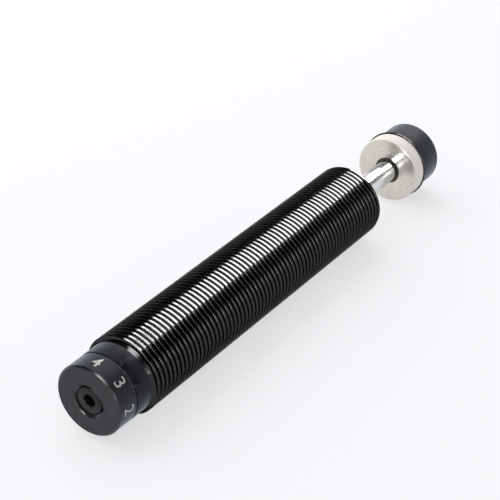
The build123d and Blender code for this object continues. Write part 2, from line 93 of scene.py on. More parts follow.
CAP, CAP_LIP, CAP_FRONT = 8.75, 9.5, 33.85
CAP_HOLE, CAP_GROOVE, SNAP_GAP = 5.65, 6.45, 0.05
# The notch, the knob's way to each side of its middle, and one click of it, in degrees
NOTCH_FROM, NOTCH_TO = 119.0, 157.0
TURN_LIMIT, CLICK = 90, 15
for name in ("housing", "adjusting_knob", "knob_screw", "strike_button", "bumper_cap"):
    low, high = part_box(name)
    print(name, [round(v / MM, 2) for v in (*low, *high)])

# %% [markdown]
# ## Small helpers for modelling
#
# A lathe makes most of this object, so most pieces start as a ring of edges that is extruded
# from one station to the next, each with its own x and radius. `select` picks vertices by
# their place. `finish_piece` turns the faces outwards and smooths the round ones only.


# %% Helpers for modelling
def to_object_mode():
    if bpy.context.object and bpy.context.object.mode != "OBJECT":
        bpy.ops.object.mode_set(mode="OBJECT")
    bpy.ops.object.select_all(action="DESELECT")


def edit(piece):
    to_object_mode()
    bpy.context.view_layer.objects.active = piece
    piece.select_set(True)
    bpy.ops.object.mode_set(mode="EDIT")
    bpy.ops.mesh.select_mode(type="VERT")
    bpy.ops.mesh.select_all(action="DESELECT")


def on_lathe(v):
    """The x, radius and angle of a vertex, in millimetres and degrees."""
    x, y, z = (c / MM for c in v.co)
    return x, hypot(y, z), degrees(atan2(z, y)) % 360


def select(piece, wanted):
    """In edit mode, select the vertices for which wanted(x, radius, angle) is true."""
    mesh = bmesh.from_edit_mesh(piece.data)
    for v in mesh.verts:
        v.select = bool(wanted(*on_lathe(v)))
    mesh.select_flush_mode()
    bmesh.update_edit_mesh(piece.data)


def select_edges(piece, wanted):
    """In edit mode, select the edges for which wanted(edge) is true, and count them."""
    bpy.ops.mesh.select_mode(type="EDGE")
    mesh = bmesh.from_edit_mesh(piece.data)
    for e in mesh.edges:
        e.select = bool(wanted(e))
    bmesh.update_edit_mesh(piece.data)
    return sum(e.select for e in mesh.edges)


def apply_place():
    bpy.ops.object.transform_apply(location=True, rotation=True, scale=True)


# %% Turning on the lathe
def ring(name, x, radius, sides):
    """A ring of edges round the axis, in edit mode, with all of it selected."""
    to_object_mode()
    bpy.ops.mesh.primitive_circle_add(
        vertices=sides,
        radius=radius * MM,
        location=(x * MM, 0, 0),
        rotation=(0, pi / 2, 0),
    )
    piece = bpy.context.object
    piece.name = name
    apply_place()
    bpy.ops.object.mode_set(mode="EDIT")
    bpy.ops.mesh.select_mode(type="VERT")
    bpy.ops.mesh.select_all(action="SELECT")
    return piece


def turn(stations, start):
    """Extrude the selected ring from station to station. A radius of 0 closes it."""
    x_now, r_now = start
    for x, r in stations:
        bpy.ops.mesh.extrude_region_move(
            TRANSFORM_OT_translate={"value": ((x - x_now) * MM, 0, 0)}
        )
        if r == 0:
            bpy.ops.mesh.merge(type="CENTER")
            return
        bpy.ops.transform.resize(
            value=(1, r / r_now, r / r_now), center_override=(x * MM, 0, 0)
        )
        x_now, r_now = x, r


def turned(name, stations, sides=96):
    """A lathe piece from a list of (x, radius). It closes on the axis, or on its start."""
    opens_on_axis = stations[0][1] == 0
    first = stations[1] if opens_on_axis else stations[0]
    piece = ring(name, *first, sides)
    turn(stations[2:] if opens_on_axis else stations[1:], first)
    if opens_on_axis:
        select(piece, lambda x, r, a: abs(x - first[0]) < 1e-3 and abs(r - first[1]) < 1e-3)
        turn([stations[0]], first)
    bpy.ops.mesh.select_all(action="SELECT")
    bpy.ops.mesh.remove_doubles(threshold=1e-7)
    finish_piece(piece)
    return piece


def open_edges(piece):
    count = {}
    for face in piece.data.polygons:
        for key in face.edge_keys:
            count[key] = count.get(key, 0) + 1
    return sum(n != 2 for n in count.values())


def finish_piece(piece, angle=32):
    edit(piece)
    bpy.ops.mesh.select_all(action="SELECT")
    bpy.ops.mesh.normals_make_consistent(inside=False)
    to_object_mode()
    bpy.context.view_layer.objects.active = piece
    piece.select_set(True)
    bpy.ops.object.shade_smooth_by_angle(angle=radians(angle))
    to_object_mode()
    print(piece.name, len(piece.data.polygons), "faces,", open_edges(piece), "open edges")


# %% Milling, drilling and wrapping
def apply_modifier(piece, kind, **settings):
    to_object_mode()
    bpy.context.view_layer.objects.active = piece
    piece.select_set(True)
    modifier = piece.modifiers.new(kind.lower(), kind)
    for key, value in settings.items():
        setattr(modifier, key, value)
    bpy.ops.object.modifier_apply(modifier=modifier.name)
    to_object_mode()


def break_edges(piece, width):
    """Round the sharp edges a little, as a file or a tumbling drum does."""
    apply_modifier(
        piece, "BEVEL", width=width * MM, segments=2,
        limit_method="ANGLE", angle_limit=radians(40), harden_normals=False,
    )


def join(pieces):
    to_object_mode()
    for piece in pieces:
        piece.select_set(True)
    bpy.context.view_layer.objects.active = pieces[0]
    if len(pieces) > 1:
        bpy.ops.object.join()
    to_object_mode()
    return pieces[0]


def cut_away(piece, cutters):
    """Take the cutters, which don't touch each other, out of the piece."""
    cutter = join(cutters)
    apply_modifier(piece, "BOOLEAN", operation="DIFFERENCE", solver="EXACT", object=cutter)
    bpy.data.objects.remove(cutter)


def drill(x_from, x_to, radius, angle, circle):
    """A round cutter along the axis, at an angle on a circle."""
    to_object_mode()
    bpy.ops.mesh.primitive_cylinder_add(
        vertices=32,
        radius=radius * MM,
        depth=(x_to - x_from) * MM,
        location=(
            (x_from + x_to) / 2 * MM,
            circle * cos(radians(angle)) * MM,
            circle * sin(radians(angle)) * MM,
        ),
        rotation=(0, pi / 2, 0),
    )
    apply_place()
    return bpy.context.object


def slice_along_y(piece, places):
    """Cut a flat piece into strips, so that it can follow a curve."""
    edit(piece)
    for y in places:
        bpy.ops.mesh.select_all(action="SELECT")
        bpy.ops.mesh.bisect(plane_co=(0, y * MM, 0), plane_no=(0, 1, 0))
    to_object_mode()


def wrap(piece, radius, angle):
    """Lay a flat piece round the axis: -y becomes the way round, and z the height."""
    for v in piece.data.vertices:
        x, y, z = v.co
        turn_by = radians(angle) - y / (radius * MM)
        height = radius * MM + z
        v.co = (x, height * cos(turn_by), height * sin(turn_by))


# %% [markdown]
# ## The threaded sleeve
#
# The outside is taken to be an M20 x 1.5 thread, and its turns are the first thing that one
# sees. One turn is a short outline in the plane of the axis, drawn by extruding a single
# point: root, flank, crest, flank, root. The Screw modifier winds it up into 68 turns, and
# the coinciding edges of neighbouring turns are merged. A texture could fake the turns, but
# not their outline nor the way that each crest catches the lamp. The crest is wider and
# rounder than a fresh one, as on a thread that was cut first and then tumbled and blackened.

# %% Wind the thread
CREST_AT = -96.9 - PITCH * 25 / 360
OUTLINE = [
    (-0.75, THREAD_ROOT), (-0.62, 9.2), (-0.38, 9.86), (-0.34, 9.94), (-0.26, THREAD_TOP),
    (0.26, THREAD_TOP), (0.34, 9.94), (0.38, 9.86), (0.62, 9.2), (0.75, THREAD_ROOT),
]
TURNS = 68
to_object_mode()
x_start = CREST_AT - 2 * PITCH
bpy.ops.mesh.primitive_plane_add(
    size=0.0001, location=((x_start + OUTLINE[0][0]) * MM, 0, OUTLINE[0][1] * MM)
)
housing = bpy.context.object
housing.name = "housing_threaded"
apply_place()
bpy.ops.object.mode_set(mode="EDIT")
bpy.ops.mesh.select_mode(type="VERT")
bpy.ops.mesh.select_all(action="SELECT")
bpy.ops.mesh.merge(type="CENTER")
for (x0, r0), (x1, r1) in zip(OUTLINE, OUTLINE[1:]):
    bpy.ops.mesh.extrude_region_move(
        TRANSFORM_OT_translate={"value": ((x1 - x0) * MM, 0, (r1 - r0) * MM)}
    )
apply_modifier(
    housing, "SCREW", axis="X", screw_offset=PITCH * MM, angle=2 * pi, iterations=TURNS,
    steps=96, render_steps=96, use_normal_calculate=True,
)
edit(housing)
bpy.ops.mesh.select_all(action="SELECT")
bpy.ops.mesh.remove_doubles(threshold=2e-6)
print("thread vertices:", len(bmesh.from_edit_mesh(housing.data).verts))

# %% [markdown]
# The lathe faces both ends of the sleeve and chamfers them before the thread is cut, so the
# last turns have lower crests. Here the ends are bisected, and each vertex that stands
# outside the two cones is lowered on to them.

# %% Trim the ends of the thread
bpy.ops.mesh.select_all(action="SELECT")
bpy.ops.mesh.bisect(plane_co=(0, 0, 0), plane_no=(1, 0, 0), clear_outer=True)
bpy.ops.mesh.select_all(action="SELECT")
bpy.ops.mesh.bisect(plane_co=(SHOULDER * MM, 0, 0), plane_no=(1, 0, 0), clear_inner=True)
mesh = bmesh.from_edit_mesh(housing.data)
lowered = 0
for v in mesh.verts:
    x, r, angle = on_lathe(v)
    front_cone = THREAD_TOP - FRONT_CHAMFER - x
    rear_cone = NECK + (x - SHOULDER) * (THREAD_TOP - NECK) / SLOPE
    limit = min(front_cone, rear_cone, THREAD_TOP)
    if r > limit:
        v.co.yz = v.co.yz * (limit / r)
        lowered += 1
bmesh.update_edit_mesh(housing.data)
print("vertices lowered on to the cones:", lowered)

# %% [markdown]
# The neck, the seam's edge, the pocket for the knob's hub, the rear wall and the bore are one
# line of stations, from the thread's rear end through the inside to its front face. The two
# ends are then bridged to the thread, and the sleeve is closed.

# %% Neck, pocket, rear wall, bore and mouth
inside = [
    (SHOULDER - 0.12, NECK), (SEAM + 0.2, NECK), (SEAM + 0.06, NECK - 0.05),
    (SEAM, NECK - 0.2), (SEAM, POCKET), (POCKET_END, POCKET), (POCKET_END, SPINDLE_BORE),
    (BORE_END, SPINDLE_BORE), (BORE_END, BORE), (-2.33, BORE), (-2.33, CIRCLIP_GROOVE),
    (-1.25, CIRCLIP_GROOVE), (-1.25, BORE), (-0.15, BORE), (0.0, BORE + 0.15), (0.0, 8.7),
]
shell = ring("housing_inside", *inside[0], 96)
turn(inside[1:], inside[0])
join([housing, shell])
edit(housing)
for x_loop in (SHOULDER, 0.0):
    select_edges(housing, lambda e: len(e.link_faces) == 1
                 and all(abs(v.co.x / MM - x_loop) < 0.2 for v in e.verts))
    bpy.ops.mesh.bridge_edge_loops()
finish_piece(housing)

# %% [markdown]
# The rear edge of the neck has a shallow milled notch, which reads as the pointer for the
# knob's numbers. The mill leaves round corners. The cutter is a flat bar with two rounded
# corners, wrapped round the axis. The neck's rear face also has three drilled holes, for the
# detent ball, for the pin that stops the knob, and for filling in the oil. All four cutters
# are joined and taken away in one Boolean, because the thread has many faces.

# %% Mill the notch and drill the three holes
notch_length = radians(NOTCH_TO - NOTCH_FROM) * NECK
# The bar reaches 1.7 mm into the neck from the seam, and 0.85 mm below its surface
to_object_mode()
bpy.ops.mesh.primitive_cube_add(
    size=1,
    location=((SEAM - 1.0 + 1.35) * MM, 0, -0.1 * MM),
    scale=(2.7 * MM, notch_length * MM, 1.5 * MM),
)
cutter = bpy.context.object
cutter.name = "notch_cutter"
apply_place()
edit(cutter)
corners = select_edges(cutter, lambda e: abs(e.verts[0].co.z - e.verts[1].co.z) > 1e-4
                       and e.verts[0].co.x > (SEAM + 1) * MM)
bpy.ops.mesh.bevel(offset=0.55 * MM, segments=5, affect="EDGES")
slice_along_y(cutter, [notch_length * (i / 16 - 0.5) for i in range(1, 16)])
wrap(cutter, NECK, (NOTCH_FROM + NOTCH_TO) / 2)
finish_piece(cutter)
ball_hole = drill(SEAM - 1, -98.8, BALL_HOLE, 0, BALL_CIRCLE)
pin_hole = drill(SEAM - 1, -100.4, PIN_HOLE, 270, PIN_CIRCLE)
fill_hole = drill(SEAM - 1, -94.5, FILL_HOLE, 90, FILL_CIRCLE)
cut_away(housing, [cutter, ball_hole, pin_hole, fill_hole])
print("rounded corners:", corners, "housing faces:", len(housing.data.polygons))


# %% Round the notch's edges
def at_notch_rim(e):
    places = [on_lathe(v) for v in e.verts]
    near = all(x < SEAM + 1.8 and r > NECK - 0.25 and NOTCH_FROM - 1 < a < NOTCH_TO + 1
               for x, r, a in places)
    return near and len(e.link_faces) == 2 and e.calc_face_angle(0) > radians(50)


edit(housing)
print("notch edges:", select_edges(housing, at_notch_rim))
bpy.ops.mesh.bevel(offset=0.09 * MM, segments=2, affect="EDGES", clamp_overlap=True)
finish_piece(housing)

# %% [markdown]
# ## The adjusting knob
#
# A turned cap with a chamfered rear edge and a counterbore, in which the socket screw sits.
# Its hub reaches into the neck and has a bore for the spindle. Its front face has a groove
# for the stop pin and 13 small notches, one for each click of the detent ball. They hide in
# the gap, but an exploded view shows them. One notch cutter is made and copied.

# %% Turn the knob
knob = turned(
    "knob_turned",
    [
        (HEAD_FRONT, SHANK_HOLE), (HEAD_FRONT, COUNTERBORE), (KNOB_BACK + 0.35, COUNTERBORE),
        (KNOB_BACK, 4.35), (KNOB_BACK, KNOB - 0.45), (KNOB_BACK + 0.45, KNOB),
        (KNOB_FRONT - 0.2, KNOB), (KNOB_FRONT, KNOB - 0.2), (KNOB_FRONT, HUB), (HUB_END, HUB),
        (HUB_END, SPINDLE_SOCKET), (SPINDLE_SOCKET_END, SPINDLE_SOCKET),
        (SPINDLE_SOCKET_END, SHANK_HOLE), (HEAD_FRONT, SHANK_HOLE),
    ],
    sides=128,
)
break_edges(knob, 0.05)

# %% Cut the notches and the groove
to_object_mode()
bpy.ops.mesh.primitive_cylinder_add(
    vertices=4, radius=0.87 * MM, depth=1.5 * MM,
    location=(KNOB_FRONT * MM + 0.25 * MM, 0, BALL_CIRCLE * MM),
)
notch = bpy.context.object
apply_place()
notches = [notch]
for i in range(2 * TURN_LIMIT // CLICK + 1):
    copy = notch.copy()
    copy.data = notch.data.copy()
    bpy.context.scene.collection.objects.link(copy)
    copy.rotation_euler = (radians(-90 - TURN_LIMIT + CLICK * i), 0, 0)
    to_object_mode()
    copy.select_set(True)
    bpy.context.view_layer.objects.active = copy
    apply_place()
    notches.append(copy)
bpy.data.objects.remove(notches.pop(0))
cut_away(knob, notches)

inner, outer = PIN_CIRCLE - 0.6, PIN_CIRCLE + 0.6
mouth, bottom = KNOB_FRONT + 0.5, SEAM - 1.05
groove = ring("groove", mouth, inner, 96)
turn([(mouth, outer), (bottom, outer), (bottom, inner), (mouth, inner)], (mouth, inner))
bpy.ops.mesh.select_all(action="SELECT")
bpy.ops.mesh.remove_doubles(threshold=1e-7)
bpy.ops.mesh.bisect(
    plane_co=(0, 0, 0.6 * MM), plane_no=(0, 0, 1), clear_outer=True, use_fill=True
)
finish_piece(groove)
cut_away(knob, [groove])
finish_piece(knob)


# %% [markdown]
# The side carries numbers for the setting. They are plain figures, printed in white: text
# made into a mesh, cut into strips and wrapped round the knob.


# %% Print the figures
FIGURE_SIZE, FIGURE_STEP, MIDDLE_ANGLE = 4.6, 45, 138


def figure(text, angle):
    to_object_mode()
    bpy.ops.object.text_add(location=(0, 0, 0))
    piece = bpy.context.object
    piece.data.body = text
    piece.data.size = FIGURE_SIZE * MM
    piece.data.offset = 0.02 * MM
    piece.data.align_x = "CENTER"
    piece.data.align_y = "CENTER"
    piece.data.extrude = 0.015 * MM
    bpy.ops.object.convert(target="MESH")
    piece.name = "knob_figure_" + text
    piece.rotation_euler = (0, 0, -pi / 2)
    piece.location = ((KNOB_BACK + 3.1) * MM, 0, 0.005 * MM)
    apply_place()
    slice_along_y(piece, [i * 0.25 for i in range(-6, 7)])
    wrap(piece, KNOB, angle)
    return piece


figures = [figure(str(i + 1), MIDDLE_ANGLE + FIGURE_STEP * (2 - i)) for i in range(5)]
print("figures:", [f.name for f in figures])

# %% [markdown]
# ## The knob's screw
#
# Taken to be an M4 socket head cap screw. Its hexagon is a six-sided bar taken out of the
# head, and the socket's mouth has the small countersink that leads the key in.

# %% Socket head screw
screw = turned(
    "knob_screw_turned",
    [
        (HEAD_BACK, 0), (HEAD_BACK, 3.2), (HEAD_BACK + 0.08, 3.38),
        (HEAD_BACK + 0.25, HEAD), (HEAD_FRONT, HEAD), (HEAD_FRONT, SHANK),
        (HEAD_FRONT + SHANK_LENGTH, SHANK), (HEAD_FRONT + SHANK_LENGTH, 0),
    ],
)
to_object_mode()
bpy.ops.mesh.primitive_cylinder_add(
    vertices=6, radius=HEX_ACROSS_FLATS / 2 / cos(pi / 6) * MM, depth=4 * MM,
    location=(HEAD_BACK * MM, 0, 0), rotation=(0, pi / 2, 0),
)
hexagon = bpy.context.object
apply_place()
cut_away(screw, [hexagon])
to_object_mode()
bpy.ops.mesh.primitive_cone_add(
    vertices=48, radius1=1.85 * MM, radius2=1.35 * MM, depth=0.5 * MM,
    location=((HEAD_BACK + 0.1) * MM, 0, 0), rotation=(0, pi / 2, 0),
)
countersink = bpy.context.object
apply_place()
cut_away(screw, [countersink])
finish_piece(screw)

# %% [markdown]
# ## Rod, strike button and bumper cap
#
# The rod is ground and hard chromed. The button is a nickel-plated steel disc with a shallow
# recess round the rod and a beaded spigot, over which the polyurethane cap is snapped. The
# cap's lip is rounded, and so is its front rim: a few close stations draw each curve.

# %% Piston rod
rod = turned(
    "rod_chromed",
    [
        (27.0, 0), (27.0, 2.1), (26.6, STUD), (ROD_SHOULDER, STUD), (ROD_SHOULDER, 2.8),
        (20.8, ROD), (-34.2, ROD), (-34.2, 1.5), (-44.4, 1.5), (-44.6, 1.3), (-44.6, 0),
    ],
)

# %% Strike button
button = turned(
    "strike_button_turned",
    [
        (27.4, 0), (27.4, 2.52), (ROD_SHOULDER, 2.52), (ROD_SHOULDER, RECESS),
        (BUTTON_BACK + 0.2, RECESS), (BUTTON_BACK + 0.05, 3.7), (BUTTON_BACK, 3.85),
        (BUTTON_BACK, 8.72), (BUTTON_BACK + 0.1, 8.96), (BUTTON_BACK + 0.38, BUTTON),
        (BUTTON_FRONT, BUTTON), (BUTTON_FRONT, SPIGOT), (BEAD_BACK, SPIGOT), (BEAD_BACK, BEAD),
        (BEAD_SLOPE_BACK, BEAD), (SPIGOT_END, SPIGOT), (SPIGOT_END, 0),
    ],
    sides=128,
)

# %% Bumper cap
cap = turned(
    "bumper_cap_moulded",
    [
        (CAP_FRONT, 0), (CAP_FRONT, 7.65), (CAP_FRONT - 0.1, 8.1), (CAP_FRONT - 0.38, 8.47),
        (CAP_FRONT - 0.75, 8.68), (CAP_FRONT - 1.1, CAP), (25.17, CAP), (25.07, 8.83),
        (25.05, 9.2), (25.0, 9.36), (24.89, 9.46), (24.75, CAP_LIP), (24.61, 9.46),
        (24.5, 9.36), (BUTTON_FRONT, 9.2), (BUTTON_FRONT, CAP_HOLE),
        (BEAD_BACK - SNAP_GAP, CAP_HOLE), (BEAD_BACK - SNAP_GAP, CAP_GROOVE),
        (BEAD_SLOPE_BACK, CAP_GROOVE), (SPIGOT_END + SNAP_GAP, CAP_HOLE),
        (SPIGOT_END + SNAP_GAP, 0),
    ],
    sides=128,
)

# %% [markdown]
# ## The return spring
#
# A spring of round wire pushes the rod out again. Its CAD stand-in has square wire and stays
# stiff. This one is wound from a circle by the Screw modifier, in three lengths: the end
# turns lie closed, as on a real compression spring, and those between are open. A twisted
# curve could do the same, but its turns would be harder to set to a pitch.

# %% Wind the return spring
WIRE, OPEN_TURNS = 0.9, 6
spring_low, spring_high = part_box("return_spring")
coil_radius = spring_high.y / MM - WIRE / 2
closed_pitch = WIRE + 0.02
spring_length = (spring_high.x - spring_low.x) / MM
open_pitch = (spring_length - WIRE - 2 * closed_pitch) / OPEN_TURNS
lengths = []
x = spring_low.x / MM + WIRE / 2
for pitch, turns in ((closed_pitch, 1), (open_pitch, OPEN_TURNS), (closed_pitch, 1)):
    to_object_mode()
    bpy.ops.mesh.primitive_circle_add(
        vertices=12, radius=WIRE / 2 * MM, location=(x * MM, coil_radius * MM, 0))
    apply_place()
    lengths.append(bpy.context.object)
    apply_modifier(
        lengths[-1], "SCREW", axis="X", angle=2 * pi, screw_offset=pitch * MM,
        iterations=turns, steps=24, render_steps=24, use_normal_calculate=False,
    )
    x += pitch * turns
spring = join(lengths)
spring.name = "return_spring_wound"
edit(spring)
bpy.ops.mesh.select_all(action="SELECT")
bpy.ops.mesh.remove_doubles(threshold=1e-6)
bpy.ops.mesh.fill_holes(sides=0)
finish_piece(spring, 50)
print("spring: open pitch", round(open_pitch, 2), "mm, length", round(spring_length, 2), "mm")

# %% [markdown]
# ## Materials
#
# `add` makes one node, sets it and links it. Colours are written as they are seen, in sRGB,
# and turned to the linear values that Blender counts with. All patterns read Object
# coordinates, which are metres. `lathe_place` turns those into x, radius and angle, so that
# a pattern can run round the axis as tool marks do. `cloud` is one layer of a finish, of a
# real size in millimetres, as a value. `pattern` mixes two colours by such a value as well.


# %% Helpers for materials
def linear(code):
    """An sRGB hex colour as linear RGBA."""
    parts = [int(code[i:i + 2], 16) / 255 for i in (1, 3, 5)]
    return tuple(c / 12.92 if c <= 0.04045 else ((c + 0.055) / 1.055) ** 2.4 for c in parts) + (1,)


def add(tree, kind, inputs=None, **settings):
    """Add a node. inputs holds values, or sockets of other nodes to link from."""
    node = tree.nodes.new(kind)
    for key, value in settings.items():
        setattr(node, key, value)
    for key, value in (inputs or {}).items():
        if isinstance(value, bpy.types.NodeSocket):
            tree.links.new(value, node.inputs[key])
        else:
            node.inputs[key].default_value = value
    return node


def new_finish(name, **values):
    """A material with its Principled shader, and Object coordinates to hang patterns on."""
    material = bpy.data.materials.new(name)
    material.use_nodes = True
    tree = material.node_tree
    shader = tree.nodes["Principled BSDF"]
    for key, value in values.items():
        shader.inputs[key.replace("_", " ")].default_value = value
    place = add(tree, "ShaderNodeTexCoord").outputs["Object"]
    return material, tree, shader, place


def lathe_place(tree, place):
    """x, the radius and the angle round the axis, as one vector, and the radius alone."""
    split = add(tree, "ShaderNodeSeparateXYZ", {0: place})
    across = add(tree, "ShaderNodeCombineXYZ", {1: split.outputs[1], 2: split.outputs[2]})
    radius = add(tree, "ShaderNodeVectorMath", {0: across.outputs[0]}, operation="LENGTH")
    angle = add(tree, "ShaderNodeMath", {0: split.outputs[2], 1: split.outputs[1]},
                operation="ARCTAN2")
    joined = add(tree, "ShaderNodeCombineXYZ", {
        0: split.outputs[0], 1: radius.outputs["Value"], 2: angle.outputs[0],
    })
    return joined.outputs[0], radius.outputs["Value"]


def cloud(tree, place, size_mm, detail=3.0, stretch=(1, 1, 1)):
    """A cloudy pattern of a real size, as a value from 0 to 1."""
    spread = add(tree, "ShaderNodeMapping", {"Vector": place, "Scale": stretch})
    noise = add(tree, "ShaderNodeTexNoise", {
        "Vector": spread.outputs[0], "Scale": 1 / (size_mm * MM), "Detail": detail,
    })
    # The middle of the noise's range is spread out to 0 to 1, and the rest is cut off
    return add(tree, "ShaderNodeMapRange", {0: noise.outputs["Fac"], 1: 0.32, 2: 0.68}).outputs[0]


def pattern(tree, place, size_mm, dark, light, detail=3.0, stretch=(1, 1, 1)):
    """A cloudy pattern of a real size, as a colour between two and as its value."""
    value = cloud(tree, place, size_mm, detail, stretch)
    tint = add(tree, "ShaderNodeMix", {0: value, 6: linear(dark), 7: linear(light)},
               data_type="RGBA")
    return tint.outputs[2], value


def work_in(tree, shader, colour, value, smooth, dull, depth_mm):
    """Give a shader its colour, and let a value dull it and raise it by a real depth."""
    gloss = add(tree, "ShaderNodeMapRange", {0: value, 3: smooth, 4: dull})
    relief = add(tree, "ShaderNodeBump", {"Distance": depth_mm * MM, "Height": value})
    tree.links.new(colour, shader.inputs["Base Color"])
    tree.links.new(gloss.outputs[0], shader.inputs["Roughness"])
    tree.links.new(relief.outputs[0], shader.inputs["Normal"])


# %% [markdown]
# ### Black oxide
#
# Steel boiled in a hot salt bath grows a black skin of magnetite a micron thick, which is
# then oiled. It looks different wherever the steel under it was cut in another way. The
# thread is set as a very dark metal with a grey edge tint, which holds its shine back at a
# glancing angle, so that the sleeve's sides don't turn pale. Neck and knob aren't set as
# metals. Their sides mirror next to nothing, and a sheen lightens them towards the outline.

# %% Black oxide on the thread
thread_black, tree, shader, place = new_finish(
    "black oxide, cut thread, oiled", Metallic=1.0, Specular_Tint=linear("#a0a0a0")
)
around, radius = lathe_place(tree, place)
# Oil and handling leave uneven patches some 6 mm wide
oily = pattern(tree, place, 6, "#343435", "#393939")[0]
# The crests rub against nuts, and their oxide is thinner there, in spots of 0.7 mm
rubbed, spots = pattern(tree, place, 0.7, "#383838", "#444341")
on_crest = add(tree, "ShaderNodeMapRange", {0: radius, 1: 9.85 * MM, 2: THREAD_TOP * MM})
worn = add(tree, "ShaderNodeMath", {0: on_crest.outputs[0], 1: spots}, operation="MULTIPLY")
colour = add(tree, "ShaderNodeMix", {0: worn.outputs[0], 6: oily, 7: rubbed}, data_type="RGBA")
# Tool marks run round the thread, 0.15 mm apart
marks = cloud(tree, around, 1, 2, (6, 6, 0.004))
work_in(tree, shader, colour.outputs[2], marks, 0.10, 0.17, 0.003)

# %% Black oxide on the neck and the knob
satin_black, tree, shader, place = new_finish(
    "black oxide, turned satin", IOR=1.5, Specular_IOR_Level=0.015,
    Sheen_Weight=1.0, Sheen_Roughness=0.42, Sheen_Tint=linear("#d3dcee"),
)
around = lathe_place(tree, place)[0]
clouded = pattern(tree, place, 4, "#151515", "#1e1e20", 2)[0]
# Turning marks of 0.1 mm would vanish at this distance, so they are drawn 0.3 mm apart
marks = cloud(tree, around, 1, 3, (3.3, 3.3, 0.003))
work_in(tree, shader, clouded, marks, 0.30, 0.40, 0.004)

# %% Black oxide on the knob's face
face_black, tree, shader, place = new_finish(
    "black oxide, faced", IOR=1.5, Specular_IOR_Level=0.36
)
around = lathe_place(tree, place)[0]
# The knob's end is faced flat, so the whole of it mirrors one part of the room. It has more
# gloss than the side, and a bluer black
clouded = pattern(tree, place, 3, "#0c1014", "#1e242b", 2)[0]
marks = cloud(tree, around, 1, 3, (3.3, 3.3, 0.003))
work_in(tree, shader, clouded, marks, 0.30, 0.40, 0.004)

# %% Black oxide on edges
edge_black, tree, shader, place = new_finish("black oxide, burnished edge", IOR=1.5)
# An edge is cut with a fine feed and then rubbed by hands, with nicks of 0.5 mm. It has the
# most gloss of the knob's three blacks, so that a lamp draws a bright arc on it
nicked, nicks = pattern(tree, place, 0.5, "#101112", "#26272b")
work_in(tree, shader, nicked, nicks, 0.20, 0.26, 0.001)

# %% Black oxide on the screw
screw_black, tree, shader, place = new_finish(
    "black oxide, cold headed screw", IOR=1.5, Specular_IOR_Level=0.25
)
# A headed screw is pressed, not turned, so the eye sees a fine grain on it and no rings
scaly, grain = pattern(tree, place, 0.4, "#0e0e0e", "#1a1919")
work_in(tree, shader, scaly, grain, 0.25, 0.38, 0.008)

# %% [markdown]
# ### White print
#
# Pad-printed epoxy ink, a few hundredths of a millimetre thick and a little rubbed.

# %% White ink
ink, tree, shader, place = new_finish("pad-printed epoxy ink")
rubbed, spots = pattern(tree, place, 0.5, "#959189", "#b4b0a7")
work_in(tree, shader, rubbed, spots, 0.55, 0.42, 0.004)

# %% [markdown]
# ### Chrome and nickel
#
# The rod is ground round, plated with hard chrome and polished, so it is a mirror that is
# only slightly drawn out along its grinding. The button is turned and plated with satin
# nickel, a warmer white. Turning leaves rings, which spread a reflection across them and so
# make the bright and dark fans: that is anisotropy, with its direction round the axis.

# %% Hard chrome
chrome, tree, shader, place = new_finish("hard chrome, ground and polished", Metallic=1.0)
around = lathe_place(tree, place)[0]
# Grinding lines run round the rod, here drawn 0.25 mm apart
plated, lines = pattern(tree, around, 1, "#d3d6da", "#dde0e4", 3, (4, 1, 0.002))
work_in(tree, shader, plated, lines, 0.20, 0.22, 0.0001)

# %% Satin nickel, turned face
nickel, tree, shader, place = new_finish(
    "satin nickel over turned steel", Metallic=1.0, Anisotropic=0.85, Anisotropic_Rotation=0.25
)
around = lathe_place(tree, place)[0]
# The feed of the tool leaves rings 0.1 mm apart, drawn 0.4 mm apart so that they show
plated, rings = pattern(tree, around, 1, "#cfc9bf", "#e0dbd2", 4, (2.5, 2.5, 0.002))
work_in(tree, shader, plated, rings, 0.26, 0.34, 0.003)
tangent = add(tree, "ShaderNodeTangent", direction_type="RADIAL", axis="X")
tree.links.new(tangent.outputs[0], shader.inputs["Tangent"])

# %% Nickel in the recess, with painted shade
# The narrow recess round the rod is painted a dark olive grey: painted shade of the deep gap
# between the rod and the rim. Its cloudy pattern varies that shade and the roughness.
nickel_with_recess_shade, tree, shader, place = new_finish("nickel, painted shade in the recess", Metallic=1.0)
painted_recess_shade, oil = pattern(tree, place, 0.8, "#4c483a", "#64604f")
work_in(tree, shader, painted_recess_shade, oil, 0.4, 0.55, 0.004)

# %% Satin nickel, blasted rim
nickel_rim, tree, shader, place = new_finish(
    "satin nickel, blasted rim", Specular_IOR_Level=0.25
)
# Glass beads of 0.1 mm leave dimples, drawn 0.3 mm wide. The rim is so rough that it shines
# alike in all directions, so it isn't set as a metal, and the eye sees a pale, matt band
beaded, dimples = pattern(tree, place, 0.3, "#e2dcd3", "#eee9e1", 2)
work_in(tree, shader, beaded, dimples, 0.66, 0.8, 0.02)

# %% [markdown]
# ### Rubber and polyurethane
#
# The cap is moulded polyurethane. Its body comes from a mould with a fine eroded finish, and
# its lip from a polished part of it, so the lip shines.

# %% Polyurethane cap
cap_body, tree, shader, place = new_finish(
    "moulded polyurethane, satin", IOR=1.5, Specular_IOR_Level=0.03,
    Sheen_Weight=1.0, Sheen_Roughness=0.38, Sheen_Tint=linear("#d8deec"),
)
# The eroded mould leaves pits of 0.5 mm and less. The body mirrors next to nothing, and a
# sheen makes its sides paler towards the outline, as on satin rubber
eroded, grain = pattern(tree, place, 0.5, "#0f1013", "#15171b")
work_in(tree, shader, eroded, grain, 0.42, 0.52, 0.01)

cap_lip, tree, shader, place = new_finish("moulded polyurethane, polished lip", IOR=1.5)
glossy, waves = pattern(tree, place, 1.1, "#070708", "#0e0e0f", 2)
work_in(tree, shader, glossy, waves, 0.16, 0.24, 0.002)

# %% [markdown]
# ### The pieces inside
#
# Seals, bush, tube, springs and foam show only through the mouth, in a section or in an
# exploded view. They keep their CAD shapes, and each gets the finish of its real material:
# one pattern, of a real size, in its colour, its gloss and its height.


